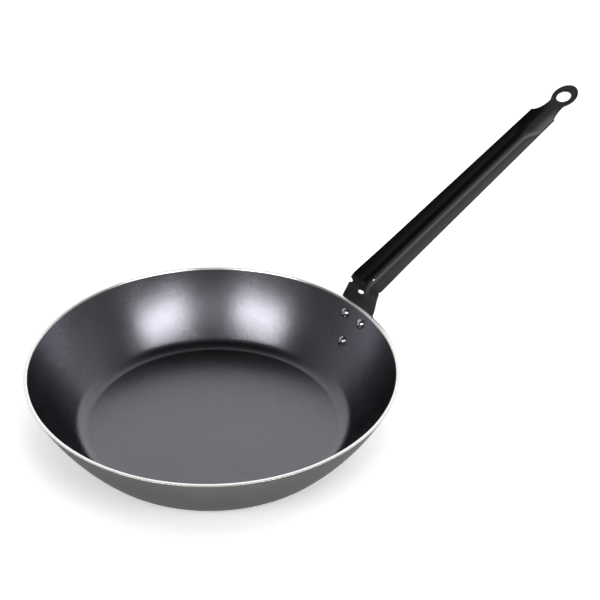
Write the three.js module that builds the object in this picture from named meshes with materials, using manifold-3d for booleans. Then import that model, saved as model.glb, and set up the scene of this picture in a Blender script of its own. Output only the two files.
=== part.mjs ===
// Carbon-steel frying pan: a spun bowl, a pressed strip handle and three rivets.
// Millimetres, +Z up. The origin is the centre of the base's underside; the handle runs along +X.
import * as THREE from 'three';
import { mergeVertices } from 'three/addons/utils/BufferGeometryUtils.js';
import Module from 'manifold-3d';

// Bowl: one disc of sheet steel, spun to a shallow bowl with a gently curved wall.
const RIM_RADIUS = 140;
const BOWL_HEIGHT = 55;
const BOWL_SHEET = 2.5;
const WALL_ARC_RADIUS = 200;
const WALL_SLOPE_AT_RIM = THREE.MathUtils.degToRad(65);
const CORNER_RADIUS = 17.5;
const BOWL_SIDES = 80;

// Handle: one strip of sheet steel, pressed to a shallow gutter that is hollow side up.
const HANDLE_SHEET = 1.8;
const HANDLE_SLOPE = THREE.MathUtils.degToRad(27.25);
const PLATE_BELOW_RIM = 42;
const PLATE_ABOVE_RIM = 14;
const PLATE_HALF_WIDTH = 18.4;
const BEND_RADIUS = 10;
const GRIP_LENGTH = 202.7;
const GRIP_HALF_WIDTH_NEAR = 16.4;
const GRIP_HALF_WIDTH_FAR = 12.8;
const GUTTER_EDGE_RISE = 1.8;
const GUTTER_FLOOR_DROP = 0.9;
const NECK_LENGTH = 13;
const NECK_HALF_WIDTH = 7;
const EYE_HALF_LENGTH = 5.9;
const EYE_HALF_WIDTH = 6.4;
const EYE_SETBACK = 1;
const RING_HALF_LENGTH = 12;
const RING_HALF_WIDTH = 10.6;
const RING_NECK_OVERLAP = 8.5;
const SLOT_BELOW_BEND = 4.3;
const SLOT_OFFSET = 2.9;
const SLOT_TURN = THREE.MathUtils.degToRad(11.5);
const SLOT_HALF_LENGTH = 1.3;
const SLOT_HALF_WIDTH = 3.4;
const PIN_HOLE_OFFSET = -0.8;
const PIN_HOLE_RADIUS = 1.1;
const LEFT_NOTCH_RADIUS = 1.7;
const LEFT_NOTCH_DEPTH = 3.8;
const RIGHT_NOTCH_RADIUS = 1.4;
const RIGHT_NOTCH_DEPTH = 2;

// Rivets: solid steel, domed inside the bowl and flatter outside, where they are set.
const RIVET_SHANK_RADIUS = 2.4;
const RIVET_HEAD_RADIUS = 3.9;
const RIVET_HEAD_HEIGHT = 2.2;
const RIVET_TAIL_RADIUS = 4.4;
const RIVET_TAIL_HEIGHT = 1.6;
const RIVET_SIDES = 20;
const RIVET_OFFSET = -3.2;
const UPPER_RIVET_SPREAD = 9.9;
const UPPER_RIVET_DROP = 11.1;
const LOWER_RIVET_DROP = 31.5;

// Meshes hold 32-bit numbers, so pieces that touch keep this gap.
const GAP = 0.3;

const wasm = await Module();
wasm.setup();

const WALL_CENTRE = new THREE.Vector2(
  RIM_RADIUS - WALL_ARC_RADIUS * Math.sin(WALL_SLOPE_AT_RIM),
  BOWL_HEIGHT + WALL_ARC_RADIUS * Math.cos(WALL_SLOPE_AT_RIM),
);

function toSolid(geometry) {
  const bare = geometry.index ? geometry.toNonIndexed() : geometry.clone();
  for (const name of Object.keys(bare.attributes)) {
    if (name !== 'position') bare.deleteAttribute(name);
  }
  const merged = mergeVertices(bare, 1e-4);
  return new wasm.Manifold(new wasm.Mesh({
    numProp: 3,
    vertProperties: new Float32Array(merged.attributes.position.array),
    triVerts: new Uint32Array(merged.index.array),
  }));
}

function toGeometry(solid) {
  const mesh = solid.getMesh();
  const geometry = new THREE.BufferGeometry();
  geometry.setAttribute('position', new THREE.BufferAttribute(mesh.vertProperties, 3));
  geometry.setIndex(new THREE.BufferAttribute(mesh.triVerts, 1));
  geometry.computeVertexNormals();
  return geometry;
}

// A point of the bowl's outer wall, on the side towards +X, where the wall has this slope.
function wallPoint(slope, radius = WALL_ARC_RADIUS) {
  return new THREE.Vector2(
    WALL_CENTRE.x + radius * Math.sin(slope),
    WALL_CENTRE.y - radius * Math.cos(slope),
  );
}

// The frame of a rivet: its origin on the wall's outer face, its Z axis into the bowl.
function rivetFrame({ drop, side }) {
  const slope = WALL_SLOPE_AT_RIM - drop / WALL_ARC_RADIUS;
  const wall = wallPoint(slope);
  const turn = Math.asin(side / wall.x);
  const inward = new THREE.Vector3(
    -Math.sin(slope) * Math.cos(turn),
    -Math.sin(slope) * Math.sin(turn),
    Math.cos(slope),
  );
  const across = new THREE.Vector3(-Math.sin(turn), Math.cos(turn), 0);
  const up = new THREE.Vector3().crossVectors(inward, across);
  const frame = new THREE.Matrix4().makeBasis(across, up, inward);
  return frame.setPosition(wall.x * Math.cos(turn), wall.x * Math.sin(turn), wall.y);
}

const RIVETS = [
  { name: 'rivet_upper_left', drop: UPPER_RIVET_DROP, side: RIVET_OFFSET + UPPER_RIVET_SPREAD },
  { name: 'rivet_upper_right', drop: UPPER_RIVET_DROP, side: RIVET_OFFSET - UPPER_RIVET_SPREAD },
  { name: 'rivet_lower', drop: LOWER_RIVET_DROP, side: RIVET_OFFSET },
];

// A round cutter along Z; scaled across, it cuts an oval.
function cutter(halfX, halfY, length, sides = 24) {
  const geometry = new THREE.CylinderGeometry(1, 1, length, sides);
  geometry.rotateX(Math.PI / 2);
  geometry.scale(halfX, halfY, 1);
  return geometry;
}

function rivetHoles() {
  const reach = 12;
  return RIVETS.map((rivet) => {
    const hole = cutter(RIVET_SHANK_RADIUS + GAP, RIVET_SHANK_RADIUS + GAP, reach, RIVET_SIDES);
    return hole.applyMatrix4(rivetFrame(rivet));
  });
}

function cut(geometry, cutters) {
  let solid = toSolid(geometry);
  for (const tool of cutters) solid = solid.subtract(toSolid(tool));
  return toGeometry(solid);
}

// Half of the bowl's section, from the axis out along the underside and back along the inside.
function bowlSection() {
  const insideCorner = CORNER_RADIUS - BOWL_SHEET;
  const reach = WALL_ARC_RADIUS - CORNER_RADIUS;
  const drop = WALL_CENTRE.y - CORNER_RADIUS;
  const flatRadius = WALL_CENTRE.x + Math.sqrt(reach * reach - drop * drop);
  const cornerTurn = Math.atan2(flatRadius - WALL_CENTRE.x, drop);
  const cornerSteps = 5;
  const wallSteps = 7;
  const side = (cornerRadius, wallRadius) => {
    const points = [];
    for (let i = 0; i <= cornerSteps; i += 1) {
      const turn = (cornerTurn * i) / cornerSteps;
      points.push(new THREE.Vector2(
        flatRadius + cornerRadius * Math.sin(turn),
        CORNER_RADIUS - cornerRadius * Math.cos(turn),
      ));
    }
    for (let i = 1; i <= wallSteps; i += 1) {
      const slope = cornerTurn + ((WALL_SLOPE_AT_RIM - cornerTurn) * i) / wallSteps;
      points.push(wallPoint(slope, wallRadius));
    }
    return points;
  };
  const outside = side(CORNER_RADIUS, WALL_ARC_RADIUS);
  const inside = side(insideCorner, WALL_ARC_RADIUS - BOWL_SHEET);
  inside[inside.length - 1].set(
    RIM_RADIUS - BOWL_SHEET / Math.sin(WALL_SLOPE_AT_RIM),
    BOWL_HEIGHT,
  );
  return [
    new THREE.Vector2(0, 0),
    ...outside,
    ...inside.reverse(),
    new THREE.Vector2(0, BOWL_SHEET),
  ];
}

function bowlGeometry() {
  return cut(new THREE.LatheGeometry(bowlSection(), BOWL_SIDES).rotateX(Math.PI / 2), rivetHoles());
}

// The handle's centre line, in the XZ plane: up the wall, over the bend, out along the grip.
const PLATE_LENGTH = PLATE_BELOW_RIM + PLATE_ABOVE_RIM;
const BEND_TURN = WALL_SLOPE_AT_RIM - HANDLE_SLOPE;
const BEND_LENGTH = BEND_RADIUS * BEND_TURN;
const GRIP_START = PLATE_LENGTH + BEND_LENGTH;
const SHOULDER = GRIP_START + GRIP_LENGTH;
const RING_CENTRE = SHOULDER + NECK_LENGTH + RING_HALF_LENGTH;
const HANDLE_END = RING_CENTRE + RING_HALF_LENGTH;

function centreLine(s) {
  const wallRadius = WALL_ARC_RADIUS + GAP;
  if (s < PLATE_BELOW_RIM) {
    const slope = WALL_SLOPE_AT_RIM - (PLATE_BELOW_RIM - s) / wallRadius;
    return { point: wallPoint(slope, wallRadius), slope };
  }
  const rim = wallPoint(WALL_SLOPE_AT_RIM, wallRadius);
  const along = (from, slope, length) => new THREE.Vector2(
    from.x + length * Math.cos(slope),
    from.y + length * Math.sin(slope),
  );
  if (s < PLATE_LENGTH) {
    return { point: along(rim, WALL_SLOPE_AT_RIM, s - PLATE_BELOW_RIM), slope: WALL_SLOPE_AT_RIM };
  }
  const bendStart = along(rim, WALL_SLOPE_AT_RIM, PLATE_ABOVE_RIM);
  const bendCentre = new THREE.Vector2(
    bendStart.x + BEND_RADIUS * Math.sin(WALL_SLOPE_AT_RIM),
    bendStart.y - BEND_RADIUS * Math.cos(WALL_SLOPE_AT_RIM),
  );
  const slope = Math.max(WALL_SLOPE_AT_RIM - (s - PLATE_LENGTH) / BEND_RADIUS, HANDLE_SLOPE);
  const bend = new THREE.Vector2(
    bendCentre.x - BEND_RADIUS * Math.sin(slope),
    bendCentre.y + BEND_RADIUS * Math.cos(slope),
  );
  return { point: along(bend, slope, Math.max(s - GRIP_START, 0)), slope };
}

const mix = THREE.MathUtils.lerp;
const ease = THREE.MathUtils.smoothstep;
const oval = (offset, halfLength, halfWidth) => (
  halfWidth * Math.sqrt(Math.max(1 - (offset / halfLength) ** 2, 0))
);

// Half the strip's width at a distance s from its lower end.
function halfWidth(s) {
  const roundEnd = 20;
  const tip = 0.4;
  if (s < roundEnd) return Math.max(oval(roundEnd - s, roundEnd, PLATE_HALF_WIDTH), tip);
  if (s < GRIP_START) {
    return mix(PLATE_HALF_WIDTH, GRIP_HALF_WIDTH_NEAR, ease(s, PLATE_BELOW_RIM, GRIP_START));
  }
  if (s <= SHOULDER) {
    return mix(GRIP_HALF_WIDTH_NEAR, GRIP_HALF_WIDTH_FAR, (s - GRIP_START) / GRIP_LENGTH);
  }
  const narrowing = Math.sqrt(ease(s, SHOULDER - 1, SHOULDER + NECK_LENGTH));
  const neck = mix(GRIP_HALF_WIDTH_FAR, NECK_HALF_WIDTH, narrowing);
  const ring = oval(s - RING_CENTRE, RING_HALF_LENGTH, RING_HALF_WIDTH);
  if (s < RING_CENTRE - RING_NECK_OVERLAP) return Math.max(neck, ring);
  return Math.max(ring, tip);
}

// How far the strip's upper face stands above the centre line, at a distance x to the side.
function rise(s, x) {
  const wall = (x * x * Math.sin(WALL_SLOPE_AT_RIM)) / (2 * RIM_RADIUS);
  const across = x / GRIP_HALF_WIDTH_NEAR;
  const gutter = mix(-GUTTER_FLOOR_DROP, GUTTER_EDGE_RISE, Math.abs(across) ** 1.3);
  const leaving = ease(s, PLATE_BELOW_RIM + 2, GRIP_START);
  const ending = ease(s, SHOULDER - 4, RING_CENTRE - EYE_HALF_LENGTH);
  return wall * (1 - leaving) + gutter * leaving * (1 - ending);
}

// A point of the handle: s along it, x to its side, n above its upper face.
function handlePoint(s, x, n) {
  const { point, slope } = centreLine(s);
  const height = rise(s, x) + n;
  return new THREE.Vector3(
    point.x - height * Math.sin(slope),
    x,
    point.y + height * Math.cos(slope),
  );
}

// Stations along the strip: close together where it turns or changes width.
function handleStations() {
  const stretches = [
    [0, 20, 9],
    [20, PLATE_LENGTH, 9],
    [PLATE_LENGTH, GRIP_START, 5],
    [GRIP_START, SHOULDER, 14],
    [SHOULDER, RING_CENTRE - RING_NECK_OVERLAP, 9],
    [RING_CENTRE - RING_NECK_OVERLAP, HANDLE_END, 14],
  ];
  const stations = [0];
  for (const [from, to, steps] of stretches) {
    for (let i = 1; i <= steps; i += 1) stations.push(from + ((to - from) * i) / steps);
  }
  return stations;
}

function stripGeometry() {
  const stations = handleStations();
  const acrossSteps = 10;
  const box = new THREE.BoxGeometry(1, 1, 1, stations.length - 1, acrossSteps, 1);
  const position = box.attributes.position;
  for (let i = 0; i < position.count; i += 1) {
    const s = stations[Math.round((position.getX(i) + 0.5) * (stations.length - 1))];
    const x = 2 * position.getY(i) * halfWidth(s);
    const point = handlePoint(s, x, position.getZ(i) > 0 ? 0 : -HANDLE_SHEET);
    position.setXYZ(i, point.x, point.y, point.z);
  }
  return box;
}

// A cutter through the strip, square to its face at s along it and x to its side.
function stripCutter(s, x, halfLength, halfWide, turn = 0) {
  const { slope } = centreLine(s);
  const at = handlePoint(s, x, -HANDLE_SHEET / 2);
  const reach = 10;
  return cutter(halfLength, halfWide, reach)
    .rotateZ(turn)
    .rotateY(-slope)
    .translate(at.x, at.y, at.z);
}

function handleGeometry() {
  const bendMiddle = PLATE_LENGTH + BEND_LENGTH / 2;
  return cut(stripGeometry(), [
    ...rivetHoles(),
    stripCutter(RING_CENTRE - EYE_SETBACK, 0, EYE_HALF_LENGTH, EYE_HALF_WIDTH),
    stripCutter(PLATE_LENGTH - SLOT_BELOW_BEND, SLOT_OFFSET, SLOT_HALF_LENGTH, SLOT_HALF_WIDTH, SLOT_TURN),
    stripCutter(GRIP_START + 4, PIN_HOLE_OFFSET, PIN_HOLE_RADIUS, PIN_HOLE_RADIUS),
    stripCutter(PLATE_LENGTH, PLATE_HALF_WIDTH - 1, LEFT_NOTCH_RADIUS, LEFT_NOTCH_DEPTH),
    stripCutter(bendMiddle, -GRIP_HALF_WIDTH_NEAR - 0.6, RIGHT_NOTCH_RADIUS, RIGHT_NOTCH_DEPTH),
  ]);
}

// A rivet as set: domed head inside the bowl, shank through both sheets, flatter tail outside.
function rivetGeometry(rivet) {
  const headBase = BOWL_SHEET + GAP;
  const tailBase = -(GAP + HANDLE_SHEET + GAP);
  const dome = (radius, base, height, steps) => {
    const points = [];
    for (let i = 0; i <= steps; i += 1) {
      const turn = (Math.PI / 2) * (i / steps);
      points.push(new THREE.Vector2(radius * Math.cos(turn), base + height * Math.sin(turn)));
    }
    points[steps].x = 0;
    return points;
  };
  const profile = [
    ...dome(RIVET_TAIL_RADIUS, tailBase, -RIVET_TAIL_HEIGHT, 4).reverse(),
    new THREE.Vector2(RIVET_SHANK_RADIUS, tailBase),
    new THREE.Vector2(RIVET_SHANK_RADIUS, headBase),
    ...dome(RIVET_HEAD_RADIUS, headBase, RIVET_HEAD_HEIGHT, 5),
  ];
  return toGeometry(toSolid(new THREE.LatheGeometry(profile, RIVET_SIDES).rotateX(Math.PI / 2)))
    .applyMatrix4(rivetFrame(rivet));
}

const bowlSteel = new THREE.MeshStandardMaterial({ color: 0x55555c, roughness: 0.38, metalness: 0.9 });
const handleLacquer = new THREE.MeshStandardMaterial({ color: 0x0b0b0c, roughness: 0.22, metalness: 0.1 });
const rivetSteel = new THREE.MeshStandardMaterial({ color: 0xc4c4c8, roughness: 0.18, metalness: 1 });

function part(name, geometry, material) {
  const mesh = new THREE.Mesh(geometry, material);
  mesh.name = name;
  return mesh;
}

const pan = new THREE.Group();
pan.add(part('bowl', bowlGeometry(), bowlSteel));
pan.add(part('handle', handleGeometry(), handleLacquer));
for (const rivet of RIVETS) pan.add(part(rivet.name, rivetGeometry(rivet), rivetSteel));

export default pan;
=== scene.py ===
import bpy
import math
from mathutils import Matrix, Vector
from mathutils.geometry import delaunay_2d_cdt


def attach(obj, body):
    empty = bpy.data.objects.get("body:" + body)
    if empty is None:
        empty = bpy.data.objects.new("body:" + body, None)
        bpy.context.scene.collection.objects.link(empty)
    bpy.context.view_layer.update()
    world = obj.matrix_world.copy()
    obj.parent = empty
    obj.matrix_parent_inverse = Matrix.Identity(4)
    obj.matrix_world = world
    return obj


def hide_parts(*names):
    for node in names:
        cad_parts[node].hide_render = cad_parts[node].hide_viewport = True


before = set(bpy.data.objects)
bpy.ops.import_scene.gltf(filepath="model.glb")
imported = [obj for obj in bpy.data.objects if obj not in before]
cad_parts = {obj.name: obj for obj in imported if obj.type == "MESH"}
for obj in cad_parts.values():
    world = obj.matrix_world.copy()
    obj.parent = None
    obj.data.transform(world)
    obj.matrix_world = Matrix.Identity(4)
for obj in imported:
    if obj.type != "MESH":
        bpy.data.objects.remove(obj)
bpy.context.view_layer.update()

# ---------------------------------------------------------------- camera
# The camera stands about 1.2 m from the pan's middle, at the front left, and looks down into the
# bowl, with the handle running away to the right. Its long lens keeps the rim's oval even.
eye = Vector((-0.5476, -0.8056, 0.7499))
look = Vector((0.5154, 0.6596, -0.5471)).normalized()
view_right = Vector((0.7929, -0.6092, 0.0125)).normalized()
view_up = view_right.cross(look).normalized()
camera_data = bpy.data.cameras.new("camera")
camera_data.lens = 96.0
camera_data.sensor_width = 36.0
camera_data.clip_end = 20.0
camera = bpy.data.objects.new("camera", camera_data)
camera.matrix_world = Matrix((
    (view_right.x, view_up.x, -look.x, eye.x),
    (view_right.y, view_up.y, -look.y, eye.y),
    (view_right.z, view_up.z, -look.z, eye.z),
    (0.0, 0.0, 0.0, 1.0),
))
bpy.context.scene.collection.objects.link(camera)
bpy.context.scene.camera = camera

# ---------------------------------------------------------------- bowl
# One disc of carbon steel, spun over a form and ground with a fine belt. The flat base turns up
# through a tight corner into a wall that is part of a large arc, and the rim is cut off level and
# left bare. The tree turns the bowl's section about the middle.
rim_radius = 0.140
bowl_height = 0.055
bowl_sheet = 0.0025
wall_radius = 0.200
wall_slope = math.radians(65.0)
corner_radius = 0.0175
corner_steps = 12
wall_steps = 24
base_steps = 8
burr = 0.00025
wall_centre = Vector((
    rim_radius - wall_radius * math.sin(wall_slope),
    bowl_height + wall_radius * math.cos(wall_slope),
))


def bowl_side(corner, wall):
    """One face of the sheet, from the edge of the flat base up to the rim."""
    reach = wall_radius - corner_radius
    fall = wall_centre.y - corner_radius
    flat = wall_centre.x + math.sqrt(reach * reach - fall * fall)
    corner_turn = math.atan2(flat - wall_centre.x, fall)
    points = []
    for i in range(corner_steps + 1):
        turn = corner_turn * i / corner_steps
        points.append((flat + corner * math.sin(turn), corner_radius - corner * math.cos(turn)))
    for i in range(1, wall_steps + 1):
        slope = corner_turn + (wall_slope - corner_turn) * i / wall_steps
        points.append((
            wall_centre.x + wall * math.sin(slope),
            wall_centre.y - wall * math.cos(slope),
        ))
    return points


outside = bowl_side(corner_radius, wall_radius)
inside = bowl_side(corner_radius - bowl_sheet, wall_radius - bowl_sheet)
inside[-1] = (rim_radius - bowl_sheet / math.sin(wall_slope), bowl_height)
out_x, out_z = outside.pop()
in_x, in_z = inside.pop()
lean = math.cos(wall_slope) / math.sin(wall_slope)
# The cut rim is level, and its two edges are broken unevenly, by about the size of the burr.
rim = [
    (out_x - burr * lean, out_z - burr),
    (out_x - burr * 0.45, out_z - burr * 0.2),
    (out_x - burr * 1.1, out_z),
    (in_x + burr * 1.1, in_z),
    (in_x + burr * 0.3, in_z - burr * 0.25),
    (in_x - burr * lean, in_z - burr),
]
base_below = [(outside[0][0] * i / base_steps, 0.0) for i in range(base_steps)]
base_above = [(inside[0][0] * i / base_steps, bowl_sheet) for i in range(base_steps)]
underside = base_below + outside
cooking_side = inside[::-1] + base_above[::-1]
section_points = underside + rim + cooking_side


def spun_tree():
    """Turns a line of points once about the upright axis, and gives its three parts their finish."""
    tree = bpy.data.node_groups.new("spun_sheet", "GeometryNodeTree")
    face = tree.interface
    face.new_socket("Section", in_out="INPUT", socket_type="NodeSocketGeometry")
    keys = {}
    for name in ("Sides", "Stations", "Rim From", "Rim To"):
        keys[name] = face.new_socket(name, in_out="INPUT", socket_type="NodeSocketInt").identifier
    for name in ("Underside Finish", "Rim Finish", "Inside Finish"):
        socket = face.new_socket(name, in_out="INPUT", socket_type="NodeSocketMaterial")
        keys[name] = socket.identifier
    face.new_socket("Sheet", in_out="OUTPUT", socket_type="NodeSocketGeometry")
    nodes = tree.nodes
    link = tree.links.new
    start = nodes.new("NodeGroupInput")
    end = nodes.new("NodeGroupOutput")

    def maths(operation, first, second):
        node = nodes.new("ShaderNodeMath")
        node.operation = operation
        for socket, value in zip(node.inputs, (first, second)):
            if isinstance(value, (int, float)):
                socket.default_value = value
            else:
                link(value, socket)
        return node.outputs[0]

    grid = nodes.new("GeometryNodeMeshGrid")
    link(maths("ADD", start.outputs["Sides"], 1.0), grid.inputs["Vertices X"])
    link(start.outputs["Stations"], grid.inputs["Vertices Y"])

    index = nodes.new("GeometryNodeInputIndex").outputs[0]
    station = maths("MODULO", index, start.outputs["Stations"])
    column = maths("FLOOR", maths("DIVIDE", index, start.outputs["Stations"]), 0.0)
    share = maths("DIVIDE", column, start.outputs["Sides"])
    turn = maths("MULTIPLY", share, 2.0 * math.pi)

    strips = maths("SUBTRACT", start.outputs["Stations"], 1.0)
    strip = maths("MODULO", index, strips)
    capture = nodes.new("GeometryNodeCaptureAttribute")
    capture.domain = "FACE"
    capture.capture_items.new("FLOAT", "Strip")
    link(grid.outputs["Mesh"], capture.inputs["Geometry"])
    link(strip, capture.inputs["Strip"])

    place = nodes.new("GeometryNodeInputPosition")
    sample = nodes.new("GeometryNodeSampleIndex")
    sample.data_type = "FLOAT_VECTOR"
    link(start.outputs["Section"], sample.inputs["Geometry"])
    link(place.outputs[0], sample.inputs["Value"])
    link(station, sample.inputs["Index"])
    rotate = nodes.new("ShaderNodeVectorRotate")
    rotate.rotation_type = "Z_AXIS"
    link(sample.outputs[0], rotate.inputs["Vector"])
    link(turn, rotate.inputs["Angle"])
    move = nodes.new("GeometryNodeSetPosition")
    link(capture.outputs["Geometry"], move.inputs["Geometry"])
    link(rotate.outputs[0], move.inputs["Position"])

    merge = nodes.new("GeometryNodeMergeByDistance")
    weld = 1e-6
    merge.inputs["Distance"].default_value = weld
    link(move.outputs[0], merge.inputs["Geometry"])
    smooth = nodes.new("GeometryNodeSetShadeSmooth")
    link(merge.outputs[0], smooth.inputs["Geometry"])
    real = nodes.new("GeometryNodeRealizeInstances")
    link(smooth.outputs[0], real.inputs[0])
    geometry = real.outputs[0]
    strip = capture.outputs["Strip"]
    parts = (
        ("Underside Finish", None),
        ("Rim Finish", maths("GREATER_THAN", strip, start.outputs["Rim From"])),
        ("Inside Finish", maths("GREATER_THAN", strip, start.outputs["Rim To"])),
    )
    for name, chosen in parts:
        dress = nodes.new("GeometryNodeSetMaterial")
        link(geometry, dress.inputs["Geometry"])
        link(start.outputs[name], dress.inputs["Material"])
        if chosen is not None:
            link(chosen, dress.inputs["Selection"])
        geometry = dress.outputs[0]
    link(geometry, end.inputs["Sheet"])
    return tree, keys


def plain_mesh(source, name):
    """Keeps a live tree's result as a plain mesh object of its own."""
    bpy.context.view_layer.update()
    evaluated = source.evaluated_get(bpy.context.evaluated_depsgraph_get())
    mesh = bpy.data.meshes.new_from_object(evaluated)
    bpy.data.objects.remove(source)
    mesh.name = name
    piece = bpy.data.objects.new(name, mesh)
    bpy.context.scene.collection.objects.link(piece)
    return piece


def ground_steel(name, colour, roughness, grain, blotch):
    """Bare ground sheet: a fine grain from the belt, and a thin oxide that varies a little."""
    shine_change = 0.03
    steel = bpy.data.materials.new(name)
    steel.use_nodes = True
    nodes = steel.node_tree.nodes
    link = steel.node_tree.links.new
    shader = nodes["Principled BSDF"]
    shader.inputs["Metallic"].default_value = 1.0
    shader.inputs["Specular Tint"].default_value = (0.5, 0.5, 0.52, 1.0)
    where = nodes.new("ShaderNodeTexCoord").outputs["Object"]

    cloud = nodes.new("ShaderNodeTexNoise")
    cloud.inputs["Scale"].default_value = 22.0
    cloud.inputs["Detail"].default_value = 4.0
    link(where, cloud.inputs["Vector"])
    tone = nodes.new("ShaderNodeMapRange")
    tone.inputs["From Min"].default_value = 0.3
    tone.inputs["From Max"].default_value = 0.7
    tone.inputs["To Min"].default_value = 1.0 - blotch
    tone.inputs["To Max"].default_value = 1.0 + blotch
    link(cloud.outputs["Fac"], tone.inputs["Value"])

    speck = nodes.new("ShaderNodeTexNoise")
    speck.inputs["Scale"].default_value = 930.0
    speck.inputs["Detail"].default_value = 3.0
    speck.inputs["Roughness"].default_value = 0.7
    link(where, speck.inputs["Vector"])
    fleck = nodes.new("ShaderNodeMapRange")
    fleck.inputs["From Min"].default_value = 0.3
    fleck.inputs["From Max"].default_value = 0.7
    fleck.inputs["To Min"].default_value = 0.90
    fleck.inputs["To Max"].default_value = 1.10
    link(speck.outputs["Fac"], fleck.inputs["Value"])

    depth = nodes.new("ShaderNodeMath")
    depth.operation = "MULTIPLY"
    link(tone.outputs[0], depth.inputs[0])
    link(fleck.outputs[0], depth.inputs[1])
    tint = nodes.new("ShaderNodeVectorMath")
    tint.operation = "SCALE"
    tint.inputs[0].default_value = colour
    link(depth.outputs[0], tint.inputs["Scale"])
    link(tint.outputs[0], shader.inputs["Base Color"])

    matt = nodes.new("ShaderNodeMapRange")
    matt.inputs["From Min"].default_value = 0.3
    matt.inputs["From Max"].default_value = 0.7
    matt.inputs["To Min"].default_value = roughness - shine_change
    matt.inputs["To Max"].default_value = roughness + shine_change
    link(cloud.outputs["Fac"], matt.inputs["Value"])
    link(matt.outputs[0], shader.inputs["Roughness"])

    bump = nodes.new("ShaderNodeBump")
    bump.inputs["Strength"].default_value = grain
    bump.inputs["Distance"].default_value = 0.0002
    link(speck.outputs["Fac"], bump.inputs["Height"])
    link(bump.outputs[0], shader.inputs["Normal"])
    return steel


inside_steel = ground_steel("inside steel", (0.168, 0.165, 0.186), 0.265, 0.16, 0.06)
outside_steel = ground_steel("outside steel", (0.150, 0.150, 0.144), 0.42, 0.15, 0.05)
rim_steel = ground_steel("cut rim", (0.86, 0.86, 0.85), 0.24, 0.1, 0.05)

line = bpy.data.meshes.new("bowl_section")
line.from_pydata(
    [(r, 0.0, z) for r, z in section_points],
    [(i, i + 1) for i in range(len(section_points) - 1)],
    [],
)
source = bpy.data.objects.new("bowl_section", line)
bpy.context.scene.collection.objects.link(source)
tree, keys = spun_tree()
spin = source.modifiers.new("spin", "NODES")
spin.node_group = tree
spin[keys["Sides"]] = 288
spin[keys["Stations"]] = len(section_points)
spin[keys["Rim From"]] = len(underside) - 1
spin[keys["Rim To"]] = len(underside) + len(rim) - 1
spin[keys["Underside Finish"]] = outside_steel
spin[keys["Rim Finish"]] = rim_steel
spin[keys["Inside Finish"]] = inside_steel
bowl = plain_mesh(source, "spun_bowl")
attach(bowl, "root")
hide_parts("bowl")

# ---------------------------------------------------------------- handle
# One strip of sheet steel, blanked with its notches, slot and eye, pressed to a shallow gutter with
# a sunk middle, bent at the rim and dipped in black lacquer. Its lower end lies on the wall's outside.
strip_sheet = 0.0018
edge_round = 0.0004
wall_gap = 0.0003
plate_below_rim = 0.042
plate_above_rim = 0.014
plate_half_width = 0.0184
plate_tip = 0.020
bend_radius = 0.010
handle_slope = math.radians(27.25)
grip_length = 0.2027
grip_half_near = 0.0164
grip_half_far = 0.0128
neck_half_width = 0.0070
neck_fall = 0.0060
neck_power = 1.1
neck_blend = 0.0016
shoulder_step = 0.0009
ring_centre_past_shoulder = 0.025
ring_half_length = 0.012
ring_half_width = 0.0106
plate_end = plate_below_rim + plate_above_rim
grip_start = plate_end + bend_radius * (wall_slope - handle_slope)
shoulder = grip_start + grip_length
ring_centre = shoulder + ring_centre_past_shoulder
neck_end = ring_centre - 0.004
handle_end = ring_centre + ring_half_length

# Where the strip is open: how far along it, how far to the side, and half its length and width.
eye_hole = (ring_centre - 0.001, 0.0, 0.0059, 0.0064)
slot_hole = (plate_end - 0.0043, 0.0029, 0.0013, 0.0034)
pin_hole = (grip_start + 0.004, -0.0008, 0.0011, 0.0011)
right_notch = (grip_start - 0.0033, -0.0170, 0.0014, 0.0020)
left_notch = (plate_end, 0.0174, 0.0017, 0.0038)
slot_turn = math.radians(11.5)
# Half the length that is kept free for the slot, with room for its turn.
slot_room = 0.0019

# The pressed shape: its edges over its middle, the crease's place, and how it runs out at each end.
edge_height = 0.0018
crease_near = 0.0050
crease_spread = 0.0100
crease_power = 1.5
crease_from = shoulder - 0.031
crease_to = shoulder - 0.013
lip = 0.0016
edge_twist = 0.0006
twist_length = 0.035
wall_fit_from = plate_below_rim + 0.002
wall_fit_to = plate_end + 0.0045
fade_from = shoulder - 0.003
fade_to = ring_centre - 0.006


def ease(value, low, high):
    """0 below low, 1 above high, and a smooth climb between them."""
    t = min(max((value - low) / (high - low), 0.0), 1.0)
    return t * t * (3.0 - 2.0 * t)


def spine(s):
    """The strip's middle line: where it is and how steeply it climbs, s along it."""
    hug = wall_radius + wall_gap
    if s < plate_below_rim:
        slope = wall_slope - (plate_below_rim - s) / hug
        x = wall_centre.x + hug * math.sin(slope)
        return x, wall_centre.y - hug * math.cos(slope), slope
    x = wall_centre.x + hug * math.sin(wall_slope)
    z = wall_centre.y - hug * math.cos(wall_slope)
    up = min(s, plate_end) - plate_below_rim
    x += up * math.cos(wall_slope)
    z += up * math.sin(wall_slope)
    slope = wall_slope
    if s > plate_end:
        slope = max(wall_slope - (s - plate_end) / bend_radius, handle_slope)
        x += bend_radius * (math.sin(wall_slope) - math.sin(slope))
        z += bend_radius * (math.cos(slope) - math.cos(wall_slope))
    if s > grip_start:
        x += (s - grip_start) * math.cos(handle_slope)
        z += (s - grip_start) * math.sin(handle_slope)
    return x, z, slope


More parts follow.
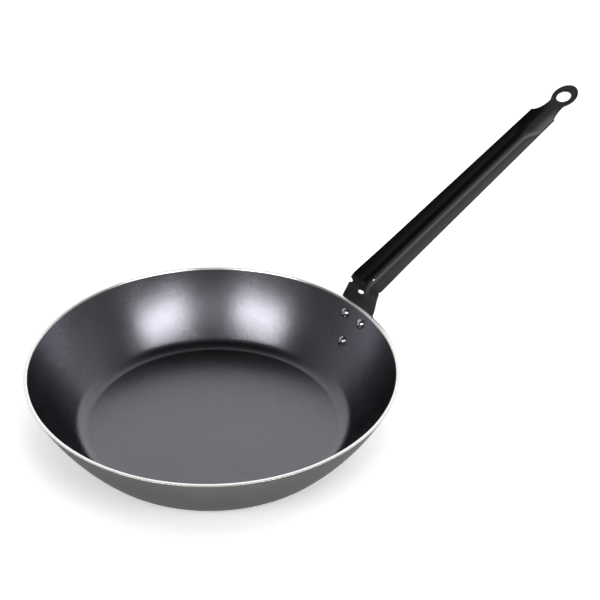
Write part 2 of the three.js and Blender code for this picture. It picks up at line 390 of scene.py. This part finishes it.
def half_width(s):
    """Half the strip's width, s from its rounded lower end."""
    if s < plate_tip:
        return plate_half_width * math.sqrt(max(1.0 - ((plate_tip - s) / plate_tip) ** 2, 0.0))
    if s < grip_start:
        share = ease(s, plate_below_rim, plate_end)
        return plate_half_width + (grip_half_near - plate_half_width) * share
    if s < shoulder:
        share = (s - grip_start) / grip_length
        return grip_half_near + (grip_half_far - grip_half_near) * share
    past = s - shoulder
    start = grip_half_far - shoulder_step - neck_half_width
    neck = neck_half_width + start * math.exp(-(past / neck_fall) ** neck_power)
    reach = (s - ring_centre) / ring_half_length
    ring = ring_half_width * math.sqrt(max(1.0 - reach * reach, 0.0))
    if s > neck_end:
        return ring
    mixed = max(neck_blend - abs(neck - ring), 0.0) / neck_blend
    return max(neck, ring) + mixed * mixed * neck_blend * 0.25


def pressed_height(side, crease, wide):
    """The gutter's height over its middle: a rounded trough, a crease, a flatter flank, a lip."""
    # Each knot is a distance from the middle and how steeply the sheet climbs there.
    knots = (
        (0.0, 0.0),
        (0.20 * crease, 0.03),
        (0.36 * crease, 0.17),
        (0.92 * crease, 0.37),
        (1.08 * crease, 0.07),
        (max(wide - lip, 1.1 * crease), 0.18),
        (max(wide, 1.12 * crease), 0.30),
    )
    height = 0.0
    for (near, slope_near), (far, slope_far) in zip(knots, knots[1:]):
        if side <= near:
            break
        reach = min(side, far) - near
        here = slope_near + (slope_far - slope_near) * reach / (far - near)
        height += reach * (slope_near + here) / 2.0
    return height


def gutter(s, y):
    """How far the pressed face stands above the middle line, y to the side."""
    side = abs(y)
    trim = 0.0001
    hug = side * side * math.sin(wall_slope) / (2.0 * rim_radius)
    wide = half_width(min(s, shoulder - trim))
    crease = crease_near + crease_spread * ease(s, crease_from, crease_to) ** crease_power
    sunk = pressed_height(wide, crease, wide)
    pressed = edge_height - sunk + pressed_height(side, crease, wide)
    lift = 1.0 - ease(s, grip_start, grip_start + twist_length)
    hand = edge_twist if y > 0.0 else -edge_twist
    pressed += hand * lift * (side / wide) ** 3
    on_wall = 1.0 - ease(s, wall_fit_from, wall_fit_to)
    fade = 1.0 - ease(s, fade_from, fade_to)
    return hug * on_wall + pressed * (1.0 - on_wall) * fade


def on_strip(s, y, depth):
    """The place of a point s along the strip, y to its side and depth below its upper face."""
    x, z, slope = spine(s)
    up = gutter(s, y) - depth
    return x - up * math.sin(slope), y, z + up * math.cos(slope)


def oval_loop(s, y, half_s, half_y, count):
    """A round or oval hole's outline in the flat strip, clockwise."""
    steps = (-2.0 * math.pi * i / count for i in range(count))
    return [(s + half_s * math.cos(t), y + half_y * math.sin(t)) for t in steps]


def outer_loop():
    """The blank's outline in the flat, anticlockwise, with the two relief notches at the bend."""
    outline_steps = 1800
    notch_steps = 24
    right = []
    left = []
    for row, hand, notch in ((right, -1.0, right_notch), (left, 1.0, left_notch)):
        at, middle, half_s, half_y = notch
        for i in range(outline_steps + 1):
            s = handle_end * (0.5 - 0.5 * math.cos(math.pi * i / outline_steps))
            if abs(s - at) >= half_s:
                row.append((s, hand * half_width(s)))
            elif row[-1][0] < at:
                for k in range(notch_steps + 1):
                    turn = math.pi * k / notch_steps
                    y = abs(middle) - half_y * math.sin(turn)
                    if y < half_width(at):
                        row.append((at - half_s * math.cos(turn), hand * y))
    return right + left[::-1]


def even_loop(points, spacing):
    """Spaces a closed outline's points evenly and eases its sharpest corners."""
    lengths = [0.0]
    for a, b in zip(points, points[1:] + points[:1]):
        lengths.append(lengths[-1] + math.hypot(b[0] - a[0], b[1] - a[1]))
    count = int(lengths[-1] / spacing)
    even = []
    at = 0
    for i in range(count):
        target = lengths[-1] * i / count
        while lengths[at + 1] < target:
            at += 1
        span = lengths[at + 1] - lengths[at]
        t = (target - lengths[at]) / span if span > 0 else 0.0
        a, b = points[at], points[(at + 1) % len(points)]
        even.append((a[0] + (b[0] - a[0]) * t, a[1] + (b[1] - a[1]) * t))
    return [
        (
            (even[i - 1][0] + 2 * even[i][0] + even[(i + 1) % count][0]) / 4,
            (even[i - 1][1] + 2 * even[i][1] + even[(i + 1) % count][1]) / 4,
        )
        for i in range(count)
    ]


def loop_normals(points):
    """The direction out of the metal at each point of an outline that has metal on its left."""
    normals = []
    for i in range(len(points)):
        a, b = points[i - 1], points[(i + 1) % len(points)]
        dx, dy = b[0] - a[0], b[1] - a[1]
        size = math.hypot(dx, dy) or 1.0
        normals.append((dy / size, -dx / size))
    return normals


def strip_mesh():
    """The whole pressed strip: both faces, and the rounded edge all round and in each hole."""
    outline_spacing = 0.00050
    eye_points = 90
    slot_points = 48
    pin_points = 28
    step = 0.0010
    clear = 0.0009
    same_point = 1e-9
    along, across, slot_half_s, slot_half_y = slot_hole
    eye = oval_loop(*eye_hole, eye_points)
    slot = [
        (along + ds * math.cos(slot_turn) - dy * math.sin(slot_turn),
         across + ds * math.sin(slot_turn) + dy * math.cos(slot_turn))
        for ds, dy in oval_loop(0.0, 0.0, slot_half_s, slot_half_y, slot_points)
    ]
    pin = oval_loop(*pin_hole, pin_points)
    loops = [even_loop(outer_loop(), outline_spacing), eye, slot, pin]

    # The edge's round, as how far each row stands out of the flat face and how deep it lies.
    turns = [math.radians(a) for a in (0, 30, 60, 90)]
    rows = [(edge_round * math.cos(t), edge_round * (1 - math.sin(t))) for t in turns[::-1]]
    rows += [(edge_round, strip_sheet / 2)]
    rows += [(e, strip_sheet - d) for e, d in rows[-2::-1]]

    flat = []
    edges = []
    rings = []
    for loop in loops:
        normals = loop_normals(loop)
        first = len(flat)
        inset = [
            (p[0] - n[0] * edge_round, p[1] - n[1] * edge_round)
            for p, n in zip(loop, normals)
        ]
        rings.append((first, loop, normals))
        flat += inset
        edges += [(first + i, first + (i + 1) % len(loop)) for i in range(len(loop))]

    # Points inside the outlines, a little clear of every edge.
    slot_zone = (along, across, slot_room, slot_half_y)
    zones = (eye_hole, slot_zone, pin_hole, left_notch, right_notch)
    s = step
    while s < handle_end - clear:
        reach = half_width(s) - clear
        count = max(int(2 * reach / step), 1)
        for i in range(count + 1):
            y = -reach + 2 * reach * i / count
            free = all(
                ((s - a) / (c + clear)) ** 2 + ((y - b) / (d + clear)) ** 2 > 1.0
                for a, b, c, d in zones
            )
            near_side = min(half_width(s - clear), half_width(s + clear)) - clear * 0.7
            if free and abs(y) <= near_side:
                flat.append((s, y))
        s += step

    done = delaunay_2d_cdt([Vector(p) for p in flat], edges, [], 0, same_point, False)
    points, faces = done[0], done[2]

    def in_metal(face):
        """A face that joins points of one outline only is metal if it runs the same way round."""
        for first, loop, _ in rings:
            if all(first <= i < first + len(loop) for i in face):
                a, b, c = face
                return a < b < c or b < c < a or c < a < b
        return True

    kept = [tuple(face) for face in faces if in_metal(face)]
    verts = [on_strip(p.x, p.y, 0.0) for p in points]
    count = len(verts)
    verts += [on_strip(p.x, p.y, strip_sheet) for p in points]
    tris = kept + [tuple(i + count for i in face[::-1]) for face in kept]
    quads = []
    for first, loop, normals in rings:
        size = len(loop)
        above = [first + i for i in range(size)]
        for out, depth in rows[1:-1]:
            base = len(verts)
            for p, n in zip(loop, normals):
                shift = out - edge_round
                verts.append(on_strip(p[0] + n[0] * shift, p[1] + n[1] * shift, depth))
            below = [base + i for i in range(size)]
            for i in range(size):
                j = (i + 1) % size
                quads.append((above[j], above[i], below[i], below[j]))
            above = below
        below = [count + first + i for i in range(size)]
        for i in range(size):
            j = (i + 1) % size
            quads.append((above[j], above[i], below[i], below[j]))
    mesh = bpy.data.meshes.new("pressed_handle")
    mesh.from_pydata(verts, [], tris + quads)
    mesh.validate()
    mesh.shade_smooth()
    return mesh


black_lacquer = bpy.data.materials.new("black lacquer")
black_lacquer.use_nodes = True
nodes = black_lacquer.node_tree.nodes
link = black_lacquer.node_tree.links.new
shader = nodes["Principled BSDF"]
shader.inputs["Base Color"].default_value = (0.0015, 0.0015, 0.002, 1.0)
shader.inputs["Roughness"].default_value = 0.24
shader.inputs["IOR"].default_value = 1.55
where = nodes.new("ShaderNodeTexCoord").outputs["Object"]
ripple = nodes.new("ShaderNodeTexNoise")
ripple.inputs["Scale"].default_value = 260.0
ripple.inputs["Detail"].default_value = 2.0
link(where, ripple.inputs["Vector"])
bump = nodes.new("ShaderNodeBump")
bump.inputs["Strength"].default_value = 0.12
bump.inputs["Distance"].default_value = 0.0002
link(ripple.outputs["Fac"], bump.inputs["Height"])
link(bump.outputs[0], shader.inputs["Normal"])

handle_mesh = strip_mesh()
handle_mesh.materials.append(black_lacquer)
handle = bpy.data.objects.new("pressed_handle", handle_mesh)
bpy.context.scene.collection.objects.link(handle)
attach(handle, "root")
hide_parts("handle")

# ---------------------------------------------------------------- rivets
# Three solid steel rivets with domed heads inside the bowl, polished by the setting tool. The tails
# outside are flatter. The tree stands a rivet on each point that it is given, square to the wall.
shank_radius = 0.0024
head_radius = 0.0039
head_height = 0.0022
tail_radius = 0.0044
tail_height = 0.0016
flange_step = 0.0001
tail_steps = 12
head_steps = 16
rivet_offset = -0.0032
rivet_spread = 0.0099
upper_drop = 0.0111
lower_drop = 0.0315
rivet_places = (
    ("rivet_upper_left", upper_drop, rivet_offset + rivet_spread),
    ("rivet_upper_right", upper_drop, rivet_offset - rivet_spread),
    ("rivet_lower", lower_drop, rivet_offset),
)


def rivet_section():
    """Half of a set rivet's section, from the tail's tip round to the head's tip."""
    tail_base = -(wall_gap + strip_sheet + wall_gap)
    head_base = bowl_sheet + wall_gap
    points = []
    for i in range(tail_steps + 1):
        turn = math.pi / 2 * i / tail_steps
        points.append((tail_radius * math.sin(turn), tail_base - tail_height * math.cos(turn)))
    points += [(tail_radius - flange_step, tail_base), (shank_radius, tail_base)]
    points += [(shank_radius, head_base), (head_radius - flange_step, head_base)]
    for i in range(head_steps + 1):
        turn = math.pi / 2 * i / head_steps
        points.append((head_radius * math.cos(turn), head_base + head_height * math.sin(turn)))
    points[0] = (0.0, points[0][1])
    points[-1] = (0.0, points[-1][1])
    return points


def rivet_tree():
    """Stands one copy of the turned rivet on each point, its head along the point's direction."""
    tree = bpy.data.node_groups.new("set_rivets", "GeometryNodeTree")
    face = tree.interface
    face.new_socket("Places", in_out="INPUT", socket_type="NodeSocketGeometry")
    keys = {}
    for name, kind in (("Rivet", "Object"), ("Scale", "Float"), ("Finish", "Material")):
        socket = face.new_socket(name, in_out="INPUT", socket_type="NodeSocket" + kind)
        keys[name] = socket.identifier
    face.new_socket("Rivets", in_out="OUTPUT", socket_type="NodeSocketGeometry")
    nodes = tree.nodes
    link = tree.links.new
    start = nodes.new("NodeGroupInput")
    end = nodes.new("NodeGroupOutput")
    shape = nodes.new("GeometryNodeObjectInfo")
    link(start.outputs["Rivet"], shape.inputs["Object"])
    direction = nodes.new("GeometryNodeInputNamedAttribute")
    direction.data_type = "FLOAT_VECTOR"
    direction.inputs["Name"].default_value = "into_bowl"
    aim = nodes.new("FunctionNodeAlignRotationToVector")
    aim.axis = "Z"
    link(direction.outputs[0], aim.inputs["Vector"])
    put = nodes.new("GeometryNodeInstanceOnPoints")
    link(start.outputs["Places"], put.inputs["Points"])
    link(shape.outputs["Geometry"], put.inputs["Instance"])
    link(aim.outputs[0], put.inputs["Rotation"])
    link(start.outputs["Scale"], put.inputs["Scale"])
    real = nodes.new("GeometryNodeRealizeInstances")
    link(put.outputs[0], real.inputs[0])
    dress = nodes.new("GeometryNodeSetMaterial")
    link(real.outputs[0], dress.inputs["Geometry"])
    link(start.outputs["Finish"], dress.inputs["Material"])
    link(dress.outputs[0], end.inputs["Rivets"])
    return tree, keys


rivet_steel = bpy.data.materials.new("polished rivet steel")
rivet_steel.use_nodes = True
nodes = rivet_steel.node_tree.nodes
link = rivet_steel.node_tree.links.new
shader = nodes["Principled BSDF"]
shader.inputs["Metallic"].default_value = 1.0
shader.inputs["Base Color"].default_value = (0.55, 0.55, 0.56, 1.0)
shader.inputs["Roughness"].default_value = 0.16
where = nodes.new("ShaderNodeTexCoord").outputs["Object"]
dent = nodes.new("ShaderNodeTexNoise")
dent.inputs["Scale"].default_value = 420.0
dent.inputs["Detail"].default_value = 2.0
link(where, dent.inputs["Vector"])
bump = nodes.new("ShaderNodeBump")
bump.inputs["Strength"].default_value = 0.35
bump.inputs["Distance"].default_value = 0.0003
link(dent.outputs["Fac"], bump.inputs["Height"])
link(bump.outputs[0], shader.inputs["Normal"])

pattern_points = rivet_section()
line = bpy.data.meshes.new("rivet_section")
line.from_pydata(
    [(r, 0.0, z) for r, z in pattern_points],
    [(i, i + 1) for i in range(len(pattern_points) - 1)],
    [],
)
source = bpy.data.objects.new("rivet_section", line)
bpy.context.scene.collection.objects.link(source)
tree, keys = spun_tree()
spin = source.modifiers.new("spin", "NODES")
spin.node_group = tree
spin[keys["Sides"]] = 48
spin[keys["Stations"]] = len(pattern_points)
# A strip number past the last one, so that no strip counts as rim and all of it is one finish.
no_rim = 1000
spin[keys["Rim From"]] = no_rim
spin[keys["Rim To"]] = no_rim
spin[keys["Underside Finish"]] = rivet_steel
pattern = plain_mesh(source, "rivet_pattern")

tree, keys = rivet_tree()
for name, drop, side in rivet_places:
    slope = wall_slope - drop / wall_radius
    wall_x = wall_centre.x + wall_radius * math.sin(slope)
    wall_z = wall_centre.y - wall_radius * math.cos(slope)
    turn = math.asin(side / wall_x)
    into = (
        -math.sin(slope) * math.cos(turn),
        -math.sin(slope) * math.sin(turn),
        math.cos(slope),
    )
    spot = bpy.data.meshes.new(name + "_place")
    spot.from_pydata([(wall_x * math.cos(turn), wall_x * math.sin(turn), wall_z)], [], [])
    way = spot.attributes.new("into_bowl", "FLOAT_VECTOR", "POINT")
    way.data[0].vector = into
    source = bpy.data.objects.new(name + "_place", spot)
    bpy.context.scene.collection.objects.link(source)
    setting = source.modifiers.new("set", "NODES")
    setting.node_group = tree
    setting[keys["Rivet"]] = pattern
    setting[keys["Scale"]] = 1.0
    setting[keys["Finish"]] = rivet_steel
    rivet = plain_mesh(source, "set_" + name)
    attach(rivet, "root")
    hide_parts(name)
bpy.data.objects.remove(pattern)

# ---------------------------------------------------------------- lights and floor
# The pan stands on a white floor that glows a little. Two softboxes make the two bright patches in
# the bowl, a weak one fills between them, one overhead lights the floor, and the room does the rest.
floor_reach = 6
floor_mesh = bpy.data.meshes.new("floor")
floor_corners = [(x * floor_reach, y * floor_reach, 0) for x, y in ((-1, -1), (1, -1), (1, 1), (-1, 1))]
floor_mesh.from_pydata(floor_corners, [], [(0, 1, 2, 3)])
floor = bpy.data.objects.new("floor", floor_mesh)
bpy.context.scene.collection.objects.link(floor)
floor_paint = bpy.data.materials.new("white floor")
floor_paint.use_nodes = True
floor_shader = floor_paint.node_tree.nodes["Principled BSDF"]
floor_shader.inputs["Base Color"].default_value = (0.9, 0.9, 0.9, 1.0)
floor_shader.inputs["Roughness"].default_value = 0.9
floor_shader.inputs["Emission Color"].default_value = (1.0, 1.0, 1.0, 1.0)
floor_shader.inputs["Emission Strength"].default_value = 0.35
floor_mesh.materials.append(floor_paint)


def softbox(name, azimuth, width, power, elevation=38.2, distance=2.2, height=0.46, glossy=True):
    """A flat soft light that faces the pan, azimuth from the handle and elevation above level."""
    data = bpy.data.lights.new(name, "AREA")
    data.shape = "RECTANGLE"
    data.size = width
    data.size_y = height
    data.energy = power
    lamp = bpy.data.objects.new(name, data)
    a, e = math.radians(azimuth), math.radians(elevation)
    away = Vector((math.cos(e) * math.cos(a), math.cos(e) * math.sin(a), math.sin(e)))
    lamp.location = away * distance
    lamp.rotation_euler = away.to_track_quat("Z", "Y").to_euler()
    lamp.visible_glossy = glossy
    bpy.context.scene.collection.objects.link(lamp)


softbox("left softbox", azimuth=-86, width=1.15, power=15.0)
softbox("right softbox", azimuth=-163, width=1.15, power=15.0)
softbox("middle glow", azimuth=-124.5, width=1.6, power=2.0)
softbox(
    "overhead fill", azimuth=-60, width=3.0, power=58,
    elevation=80, distance=3.0, height=3.0, glossy=False,
)

# The room is brightest near level and dark overhead, and brighter beyond the pan than before it.
# Each pair is a height, from level to straight up, and how bright the room is there.
room_glow = ((0.0, 0.50), (0.31, 0.50), (0.57, 0.36), (0.78, 0.21), (0.90, 0.035), (1.0, 0.018))
far_side = math.radians(48)
far_side_focus = 3.0
glow_before = 0.30
glow_beyond = 3.3
world = bpy.data.worlds.new("studio")
world.use_nodes = True
nodes = world.node_tree.nodes
link = world.node_tree.links.new
sky = nodes["Background"]
way = nodes.new("ShaderNodeTexCoord").outputs["Generated"]
split = nodes.new("ShaderNodeSeparateXYZ")
link(way, split.inputs[0])
height = nodes.new("ShaderNodeFloatCurve")
curve = height.mapping.curves[0]
curve.points[0].location = room_glow[0]
curve.points[1].location = room_glow[-1]
for rise, brightness in room_glow[1:-1]:
    curve.points.new(rise, brightness)
height.mapping.update()
link(split.outputs["Z"], height.inputs["Value"])
level = nodes.new("ShaderNodeVectorMath")
level.operation = "MULTIPLY"
level.inputs[1].default_value = (1.0, 1.0, 0.0)
link(way, level.inputs[0])
heading = nodes.new("ShaderNodeVectorMath")
heading.operation = "NORMALIZE"
link(level.outputs[0], heading.inputs[0])
behind = nodes.new("ShaderNodeVectorMath")
behind.operation = "DOT_PRODUCT"
behind.inputs[1].default_value = (math.cos(far_side), math.sin(far_side), 0.0)
link(heading.outputs[0], behind.inputs[0])
half = nodes.new("ShaderNodeMapRange")
half.inputs["From Min"].default_value = -1.0
link(behind.outputs["Value"], half.inputs["Value"])
lobe = nodes.new("ShaderNodeMath")
lobe.operation = "POWER"
lobe.inputs[1].default_value = far_side_focus
link(half.outputs[0], lobe.inputs[0])
side = nodes.new("ShaderNodeMapRange")
side.inputs["To Min"].default_value = glow_before
side.inputs["To Max"].default_value = glow_beyond
link(lobe.outputs[0], side.inputs["Value"])
glow = nodes.new("ShaderNodeMath")
glow.operation = "MULTIPLY"
link(height.outputs[0], glow.inputs[0])
link(side.outputs[0], glow.inputs[1])
link(glow.outputs[0], sky.inputs["Strength"])
sky.inputs["Color"].default_value = (1.0, 1.0, 1.0, 1.0)
bpy.context.scene.world = world
bpy.context.scene.view_settings.view_transform = "Standard"
